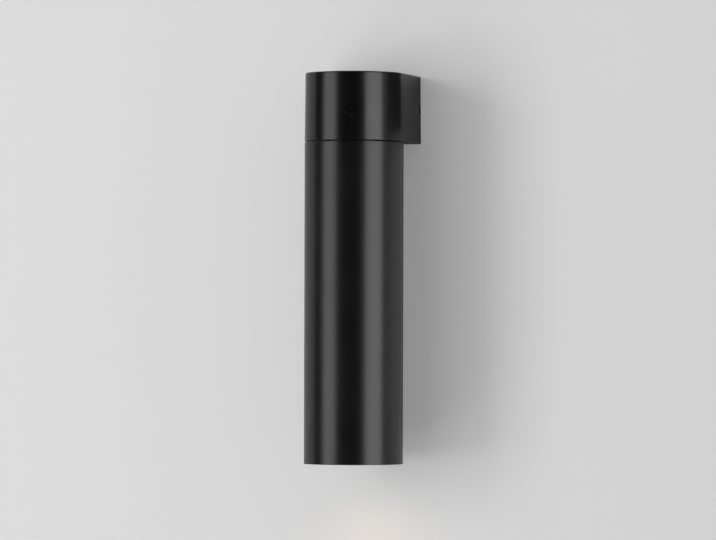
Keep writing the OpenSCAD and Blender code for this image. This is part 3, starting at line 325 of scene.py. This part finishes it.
def striped_sleeving():
    stuff = moulded("green and yellow lead", *GREENS, 0.46, 0.4 * MM, 0.006 * MM)
    facing = stuff.node("ShaderNodeTexCoord", output="Normal")
    along = stuff.node("ShaderNodeVectorMath", {"operation": "DOT_PRODUCT"}, {0: facing, 1: STRIPE_WAY},
                       output="Value")
    stripe = along * along > STRIPE_EDGE
    worn = stuff.noise(3 * MM, 3)
    yellow = stuff.mix(worn, *YELLOWS)
    green = stuff.mix(worn, *GREENS)
    stuff.set(**{"Base Color": stuff.mix(stripe, green, yellow)})
    return stuff.material


green_sleeving = striped_sleeving()
print("earth lead striped")

# %% [markdown]
# ## Glass
# The front glass is a plain toughened disc. Seen from below it must show the lamp, and the lamp's light must
# get out through it, so it is a thin, mostly clear skin: a low Alpha lets light pass and the gloss still
# shows. True refraction would trap the light in a disc this close to its source and fill the picture with
# noise.

# %% Make the glass
def clear_disc():
    glass = Finish("clear glass", roughness=0.04, colour=(0.08, 0.11, 0.105))
    haze = glass.noise(18 * MM, 3)
    glass.set(**{"Alpha": 0.1 + 0.06 * haze, "Roughness": 0.03 + 0.04 * haze})
    return glass.material


clear_glass = clear_disc()

# %% [markdown]
# The lamp is on. Its lens is frosted plastic lit from behind by seven chips: one in the middle and six in a
# ring. The glow is brightest over the chips. To find how far a point lies from the nearest chip of the ring,
# its angle is folded into one sixth of a turn, as paper is folded before a snowflake is cut, so one chip
# stands for all six. The glow is painted with an Emission Color, and a light of its own, further down, does
# the work of lighting the wall.

# %% Make the lit lens
CHIP_RING = 11 * MM
CHIP_COUNT = 6
DIM_GLOW, CHIP_GLOW = (0.5, 0.33, 0.17), (1.0, 0.9, 0.7)


def lit_lens():
    lens = Finish("lit lens", roughness=0.3, colour=(0.8, 0.76, 0.68))
    centred = lens.node("ShaderNodeMapping", {}, {"Vector": lens.place, "Location": (-axis_x, -axis_y, 0)})
    flat = lens.node("ShaderNodeVectorMath", {"operation": "MULTIPLY"}, {0: centred, 1: (1, 1, 0)})
    away = lens.node("ShaderNodeVectorMath", {"operation": "LENGTH"}, {0: flat}, output="Value")
    parts = lens.node("ShaderNodeSeparateXYZ", {}, {0: flat})
    y = Wire(lens, parts.socket.node.outputs["Y"])
    sixth = 2 * math.pi / CHIP_COUNT
    angle = y.sum_with("ARCTAN2", parts)
    folded = angle.sum_with("PINGPONG", sixth / 2)
    across = away * folded.sum_with("SINE")
    along = away * folded.sum_with("COSINE") - CHIP_RING
    from_ring = (across * across + along * along).sum_with("SQRT")
    nearest = from_ring.sum_with("MINIMUM", away) * (1 / (CHIP_RING / 2))
    spot = 1 - nearest.sum_with("MINIMUM", 1.0)
    frost = lens.noise(0.6 * MM, 2)
    lens.set(**{"Emission Color": lens.mix(spot ** 0.7, DIM_GLOW, CHIP_GLOW), "Emission Strength": 1.3,
                "Roughness": 0.25 + 0.15 * frost})
    lens.bump(frost, 0.02 * MM, 0.5)
    return lens.material


lamp_lens = lit_lens()
print("lit lens ready")

# %% [markdown]
# ## Dress the CAD nodes
# Every node gets the finish that its record names. The head takes the glossier of the two coats, whose colour
# is painted darker as painted shade.

# %% Give each node its finish
finish_of = {
    "zinc_steel": zinc_steel, "black_coat": tube_coat, "rubber": rubber, "steel": steel, "brass": brass,
    "ceramic": ceramic, "green_sleeving": green_sleeving, "lamp_metal": lamp_metal, "lamp_lens": lamp_lens,
    "clear_glass": clear_glass, **plastics,
}


def dress(piece, finish):
    piece.data.materials.clear()
    piece.data.materials.append(finish)


for name, piece in nodes.items():
    dress(piece, shaded_head_coat if name == "head_housing" else finish_of[slot_of[name]])
print("dressed", len(nodes), "nodes")

# %% [markdown]
# ## Making new pieces
# A new piece starts as a bmesh. When its shape is done, its doubles are merged, bare edges left on the axis
# are taken out and its faces are turned outwards. Then it becomes an object that rides on a body of the
# frame. Soft shading with sharp edges kept by angle suits turned metal. Soft shading averages the directions
# of neighbouring faces, so a long straight face beside a tiny rounded edge would look bent from end to end.
# The Weighted Normal modifier lets large faces keep their own direction and leaves the turn to the small
# ones.

# %% Finish a piece and hang it on its body
def settle(shape, name, body, finish, slot, *replaced, sharp=35):
    bmesh.ops.remove_doubles(shape, verts=shape.verts, dist=1e-7)
    bmesh.ops.delete(shape, geom=[e for e in shape.edges if e.is_wire], context="EDGES")
    bmesh.ops.recalc_face_normals(shape, faces=shape.faces)
    mesh = bpy.data.meshes.new(name)
    shape.to_mesh(mesh)
    shape.free()
    mesh.polygons.foreach_set("use_smooth", [True] * len(mesh.polygons))
    mesh.set_sharp_from_angle(angle=math.radians(sharp))
    piece = bpy.data.objects.new(name, mesh)
    bpy.context.scene.collection.objects.link(piece)
    dress(piece, finish)
    piece.modifiers.new("large faces first", "WEIGHTED_NORMAL").keep_sharp = True
    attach(piece, body)
    if replaced:
        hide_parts(*replaced)
    print(name, len(mesh.polygons), "faces")


# %% [markdown]
# ## The tube
# The real tube is cut from drawn pipe and its ends are turned: a small round on each edge and a shallow step
# inside the mouth for the front ring. A lathe makes such a form by turning an outline, and so does the spin
# operator. The CAD tube has flat chamfers and flat facets. This one has rounded edges, which catch a thin
# line of light.

# %% Turn the tube
def turned(outline, rounds=0.0, steps=128):
    shape = bmesh.new()
    points = [shape.verts.new((radius * MM, 0, z)) for radius, z in outline]
    edges = [shape.edges.new(pair) for pair in zip(points, points[1:] + points[:1])]
    if rounds:
        bmesh.ops.bevel(shape, geom=points + edges, offset=rounds * MM, offset_type="OFFSET", segments=3,
                        profile=0.5, affect="VERTICES", material=-1)
    bmesh.ops.spin(shape, geom=shape.verts[:] + shape.edges[:], cent=(0, 0, 0), axis=(0, 0, 1),
                   angle=2 * math.pi, steps=steps, use_merge=True)
    bmesh.ops.translate(shape, verts=shape.verts, vec=(axis_x, axis_y, 0))
    return shape


BORE_R, MOUTH_R, MOUTH_DEPTH, EDGE_ROUND = 35.5, 36.3, 10, 0.3
tube_r = (tube_high.x - tube_low.x) / 2 / MM
shoulder_z = mouth_z + MOUTH_DEPTH * MM
tube_outline = [(tube_r, mouth_z), (tube_r, tube_high.z), (BORE_R, tube_high.z), (BORE_R, shoulder_z),
                (MOUTH_R, shoulder_z), (MOUTH_R, mouth_z)]
settle(turned(tube_outline, rounds=EDGE_ROUND), "tube", "fixture", tube_coat, "black_coat", "barrel")

# %% [markdown]
# ## The thread
# The head, the plug and the lampholder hang on one threaded tube, cut with a fine thread of one millimetre. A
# ridge of triangular section winds up round a smooth core. The spin operator winds one turn: with a small
# rise at each step, the circle becomes a helix. Winding all turns in one spin is slow, so the one turn is
# copied up, as a chain is made of equal links, and the links' doubled edges are merged. The ridge bites a
# little into the core, so that no slit opens between them, and its crest stays a little shy of the nuts.
# Together they stand in for the plain CAD tube.

# %% Wind the thread
def joined(first, second):
    carrier = bpy.data.meshes.new("carrier")
    second.to_mesh(carrier)
    second.free()
    first.from_mesh(carrier)
    bpy.data.meshes.remove(carrier)
    return first


def wound_ridge(root, crest, pitch, low, high, steps=32):
    link = bmesh.new()
    flat_root = 0.02
    points = [link.verts.new((r * MM, 0, z)) for r, z in
              ((root, low), (crest, low + pitch / 2), (root, low + pitch * (1 - flat_root)))]
    edges = [link.edges.new(pair) for pair in zip(points, points[1:] + points[:1])]
    bmesh.ops.spin(link, geom=points + edges, cent=(0, 0, 0), axis=(0, 0, 1), dvec=(0, 0, pitch / steps),
                   angle=2 * math.pi, steps=steps)
    bmesh.ops.translate(link, verts=link.verts, vec=(axis_x, axis_y, 0))
    turns = int((high - low) / pitch) - 1
    whole = bmesh.new()
    for _ in range(turns):
        whole = joined(whole, link.copy())
        bmesh.ops.translate(link, verts=link.verts, vec=(0, 0, pitch))
    link.free()
    bmesh.ops.remove_doubles(whole, verts=whole.verts, dist=0.001 * MM)
    bmesh.ops.holes_fill(whole, edges=[e for e in whole.edges if e.is_boundary])
    print("turns of thread", turns)
    return whole


stem_low, stem_high = (Vector(corner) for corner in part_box("centre_tube"))
STEM_BORE_R, PITCH, THREAD_DEPTH = 3.8, 1.0, 0.54
BITE, SHY = 0.03, 0.02
stem_r = (stem_high.x - stem_low.x) / 2 / MM
core_r = stem_r - THREAD_DEPTH
edge = EDGE_ROUND * MM
core_outline = [(STEM_BORE_R, stem_low.z), (core_r, stem_low.z), (core_r, stem_high.z),
                (STEM_BORE_R, stem_high.z)]
core = turned(core_outline, steps=64)
ridge = wound_ridge(core_r - BITE, stem_r - SHY, PITCH * MM, stem_low.z + edge, stem_high.z - edge)
settle(joined(core, ridge), "threaded_tube", "fixture", zinc_steel, "zinc_steel", "centre_tube", sharp=20)

# %% [markdown]
# ## The lens domes
# Over each chip the lens swells into a low dome with two fine rings round it, which spread the beam. They are
# what one sees on looking up into the tube. Each is a turned outline again, laid at the place of its chip.

# %% Set a dome over each chip
DOME_R, DOME_H, DOME_STEPS = 3.6, 0.55, 9
RING_R = (4.0, 4.3, 4.7, 5.0)
CREST_H, ROOT_H = 0.25, 0.2


def lens_domes(face_z):
    whole = bmesh.new()
    turns = [Matrix.Rotation(2 * math.pi * i / CHIP_COUNT, 3, "Z") for i in range(CHIP_COUNT)]
    places = [Vector((0, 0, 0))] + [turn @ Vector((CHIP_RING, 0, 0)) for turn in turns]
    tilts = [math.radians(90 * i / DOME_STEPS) for i in range(DOME_STEPS + 1)]
    dome = [(DOME_R * math.sin(tilt), face_z - DOME_H * MM * math.cos(tilt)) for tilt in tilts]
    crest_z, root_z = face_z - CREST_H * MM, face_z + ROOT_H * MM
    rings = list(zip(RING_R, (crest_z, face_z, crest_z, face_z)))
    for place in places:
        cap = turned(dome + rings + [(RING_R[-1], root_z), (0.0, root_z)], steps=48)
        bmesh.ops.translate(cap, verts=cap.verts, vec=place)
        whole = joined(whole, cap)
    return whole


lens_face_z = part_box("lamp_lens")[0][2]
settle(lens_domes(lens_face_z), "lens_domes", "lamp", lamp_lens, "lamp_lens", sharp=50)

# %% [markdown]
# ## The wall and the floor
# The light hangs on a plain pale wall, which catches its shadow and the warm pool below it. The wall is
# see-through from behind, so the light's back can be looked at, and it has a window behind the head, where
# the real wall would be covered anyway. The floor lies at the foot of the wall and is see-through from below.
# Part of the wall's paleness is its own even glow, seen by the camera and through glass. It keeps the shadow
# as pale as the photograph shows it, and it adds no light to the object, neither straight nor by reflection.

# %% Paint the wall and the floor
def one_sided_paint(name, colour, own_glow):
    paint = Finish(name, roughness=0.9, colour=colour)
    paint.shader.inputs["Specular IOR Level"].default_value = 0.0
    to_eye = paint.node("ShaderNodeLightPath", output="Is Camera Ray")
    through_glass = paint.node("ShaderNodeLightPath", output="Is Transmission Ray")
    paint.set(**{"Emission Color": (1, 1, 1), "Emission Strength": own_glow * (to_eye + through_glass)})
    behind = paint.node("ShaderNodeNewGeometry", output="Backfacing")
    clear = paint.node("ShaderNodeBsdfTransparent")
    front = Wire(paint, paint.shader.outputs[0])
    surface = paint.node("ShaderNodeMixShader", {}, {0: behind, 1: front, 2: clear})
    paint.join(paint.tree.nodes["Material Output"].inputs["Surface"], surface)
    return paint.material


def stand_plane(name, size, turn, place, paint, window=None):
    shape = bmesh.new()
    bmesh.ops.create_grid(shape, x_segments=1, y_segments=1, size=1)
    bmesh.ops.scale(shape, verts=shape.verts, vec=(size[0] / 2, size[1] / 2, 1))
    if window:
        for value, direction in zip(window, ((1, 0, 0), (1, 0, 0), (0, 1, 0), (0, 1, 0))):
            bmesh.ops.bisect_plane(shape, geom=shape.verts[:] + shape.edges[:] + shape.faces[:],
                                   plane_co=Vector(direction) * value, plane_no=direction)
        inside = [f for f in shape.faces if window[0] < f.calc_center_median().x < window[1]
                  and window[2] < f.calc_center_median().y < window[3]]
        bmesh.ops.delete(shape, geom=inside, context="FACES")
    bmesh.ops.rotate(shape, verts=shape.verts, cent=(0, 0, 0), matrix=turn)
    bmesh.ops.translate(shape, verts=shape.verts, vec=place)
    mesh = bpy.data.meshes.new(name)
    shape.to_mesh(mesh)
    shape.free()
    plane = bpy.data.objects.new(name, mesh)
    bpy.context.scene.collection.objects.link(plane)
    dress(plane, paint)
    return plane


PAINT = (0.43, 0.43, 0.43)
WALL_WIDTH, WALL_Y = 3.0, 0.2 * MM
FLOOR_Z = -1.8
UPRIGHT = Matrix.Rotation(math.radians(90), 3, "X")
pale_wall = one_sided_paint("pale wall paint", PAINT, own_glow=0.18)
pale_floor = one_sided_paint("pale floor paint", PAINT, own_glow=0.4)
rim_low, rim_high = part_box("rear_gasket")
wall_window = (rim_low[0], rim_high[0], rim_low[2], rim_high[2])
wall = stand_plane("wall", (WALL_WIDTH, -2 * FLOOR_Z), UPRIGHT, (0, WALL_Y, 0), pale_wall, wall_window)
floor = stand_plane("floor", (8, 8), Matrix.Identity(3), (0, 0, FLOOR_Z), pale_floor)
print("wall faces", tuple(wall.data.polygons[0].normal), "floor faces", tuple(floor.data.polygons[0].normal))

# %% [markdown]
# ## Studio light
# Black satin is hard to light, because a lamp does two jobs at once: it brightens the wall, and it is
# mirrored in the object. A light may be told to do only one of them, so each job gets lights of its own. The
# wall is lit from the left by a tall bright softbox and a broad dim one beside it, which throw a shadow to
# the right with a soft edge. A white board on the floor throws light up from below, which softens the
# shadow's lower end and darkens its top.

# %% Hang the lights that light the wall
def flat_light(name, place, facing, width, height, strength):
    light = bpy.data.objects.new(name, bpy.data.lights.new(name, "AREA"))
    light.data.shape = "RECTANGLE"
    light.data.size, light.data.size_y = width, height
    light.data.energy = strength * math.pi * width * height
    light.matrix_world = Matrix.Translation(place) @ facing.to_track_quat("-Z", "Y").to_matrix().to_4x4()
    light.visible_camera = False
    bpy.context.scene.collection.objects.link(light)
    print(name, "at", tuple(round(v, 2) for v in place), round(light.data.energy, 3), "watts")
    return light


FAR = 5.0


def far_light(name, around, drop, width, height, strength):
    way = Vector((math.sin(math.radians(around)), -math.cos(math.radians(around)), 0))
    middle = Vector((axis_x, axis_y, (cad_box[0][2] + cad_box[1][2]) / 2 - drop))
    return flat_light(name, middle + way * FAR, -way, width, height, strength)


BOARD_PLACE, UP = Vector((-1.5, -1.5, -1.7)), Vector((0, 0, 1))
wall_lights = [
    far_light("tall softbox", around=-45, drop=0.6, width=1.8, height=5, strength=8.43),
    far_light("dim softbox", around=-20, drop=0, width=2.7, height=5, strength=1.41),
    flat_light("bounce board", BOARD_PLACE, UP, width=1.5, height=0.8, strength=4.6),
]
for light in wall_lights:
    light.visible_glossy = False

# %% [markdown]
# The object's own form shows in what it mirrors: a bright strip on each side and a dark room between them.
# Two pale panels stand there for their reflection alone. The right one is broader, so its strip is broader
# too. They reach only a little above the light, so its top stays black.

# %% Stand the mirrored panels
PANEL_TOP, PANEL_HEIGHT = 1.1, 2.9
for name, around, width, strength in (("left panel", -44.3, 2.9, 2.6), ("right panel", 62.4, 3.8, 3.4)):
    panel = far_light(name, around, PANEL_HEIGHT / 2 - PANEL_TOP, width, PANEL_HEIGHT, strength)
    panel.visible_diffuse = False

# %% [markdown]
# The right side of the head stays darker than the tube below it. A photographer gets that with two sheets. A
# dark flag stands where the head would mirror the pale wall, close by, so that its reflection ends near the
# seam. A pale card lies on the wall where the tube mirrors it. Only mirrored rays see them, so they throw no
# shadow and light nothing. The flag gets the one-sided paint too, so it doesn't show in the head when the
# light is looked at from the side.

# %% Stand the dark flag and lay the pale card
SHEET_X = (50 * MM, 400 * MM)
FLAG_Z = (-16 * MM, 70 * MM)
FLAG_Y, CARD_Y = -30 * MM, -1 * MM
sheet_x, sheet_width = sum(SHEET_X) / 2, SHEET_X[1] - SHEET_X[0]
dark_cloth = one_sided_paint("dark cloth", (0.09, 0.09, 0.09), own_glow=0.0)
flag = stand_plane("dark_flag", (sheet_width, FLAG_Z[1] - FLAG_Z[0]), UPRIGHT,
                   (sheet_x, FLAG_Y, sum(FLAG_Z) / 2), dark_cloth)
flag.visible_camera = flag.visible_diffuse = flag.visible_shadow = flag.visible_transmission = False
card = flat_light("pale card", Vector((sheet_x, CARD_Y, (tube_low.z + tube_high.z) / 2)), Vector((0, -1, 0)),
                  width=sheet_width, height=tube_high.z - tube_low.z, strength=0.17)
card.visible_diffuse = False

# %% [markdown]
# The lamp inside throws its beam down. A small round light lies just under the lens and faces the mouth. A
# reflector lamp keeps most of its light near its axis, so the light's spread is narrowed. That and the tube's
# rim give the pool on the wall its soft upper edge, a little way below the mouth.

# %% Light the lamp
def lamp_glow(strength, colour, spread):
    low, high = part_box("lamp_lens")
    below_lens, share_of_lens = 0.8 * MM, 0.96
    light = bpy.data.objects.new("lamp glow", bpy.data.lights.new("lamp glow", "AREA"))
    light.data.shape = "DISK"
    light.data.size = (high[0] - low[0]) * share_of_lens
    light.data.energy = strength
    light.data.color = colour
    light.data.spread = math.radians(spread)
    light.location = (axis_x, axis_y, low[2] - below_lens)
    bpy.context.scene.collection.objects.link(light)
    return light


glow = lamp_glow(strength=0.06, colour=(1.0, 0.6, 0.18), spread=96)
print("lamp glow at", tuple(round(v, 3) for v in glow.location))

# %% [markdown]
# The air is pale to the eye and gives a soft fill, but in front of the light the room is dark to mirrors.
# Behind the wall it is pale for mirrors too, so that the plated bracket looks like metal from the back.

# %% Fill the air
def fill_air(front, back, mirror_front, seen):
    world = bpy.data.worlds.new("studio air")
    bpy.context.scene.world = world
    world.use_nodes = True
    tree = world.node_tree
    ground = tree.nodes["Background"]
    place = tree.nodes.new("ShaderNodeTexCoord")
    split = tree.nodes.new("ShaderNodeSeparateXYZ")
    rays = tree.nodes.new("ShaderNodeLightPath")
    tree.links.new(place.outputs["Generated"], split.inputs[0])

    def choose(mask, first, second):
        mix = tree.nodes.new("ShaderNodeMix")
        mix.data_type = "FLOAT"
        for socket, value in ((mix.inputs[0], mask), (mix.inputs[2], first), (mix.inputs[3], second)):
            if isinstance(value, float):
                socket.default_value = value
            else:
                tree.links.new(value, socket)
        return mix.outputs[0]

    behind = tree.nodes.new("ShaderNodeMath")
    behind.operation = "GREATER_THAN"
    tree.links.new(split.outputs["Y"], behind.inputs[0])
    behind.inputs[1].default_value = 0.0
    filling = choose(behind.outputs[0], front, back)
    mirrored = choose(behind.outputs[0], mirror_front, back)
    level = choose(rays.outputs["Is Glossy Ray"], filling, mirrored)
    level = choose(rays.outputs["Is Camera Ray"], level, seen)
    level = choose(rays.outputs["Is Transmission Ray"], level, seen)
    ground.inputs["Color"].default_value = (1, 1, 1, 1)
    tree.links.new(level, ground.inputs["Strength"])
    return world


air = fill_air(front=0.48, back=0.8, mirror_front=0.0, seen=0.9)
print("air is", air.name)

# %% [markdown]
# ## View
# The colours are shown as they are, with no film look.

# %% Set the view
bpy.context.scene.view_settings.view_transform = "Standard"
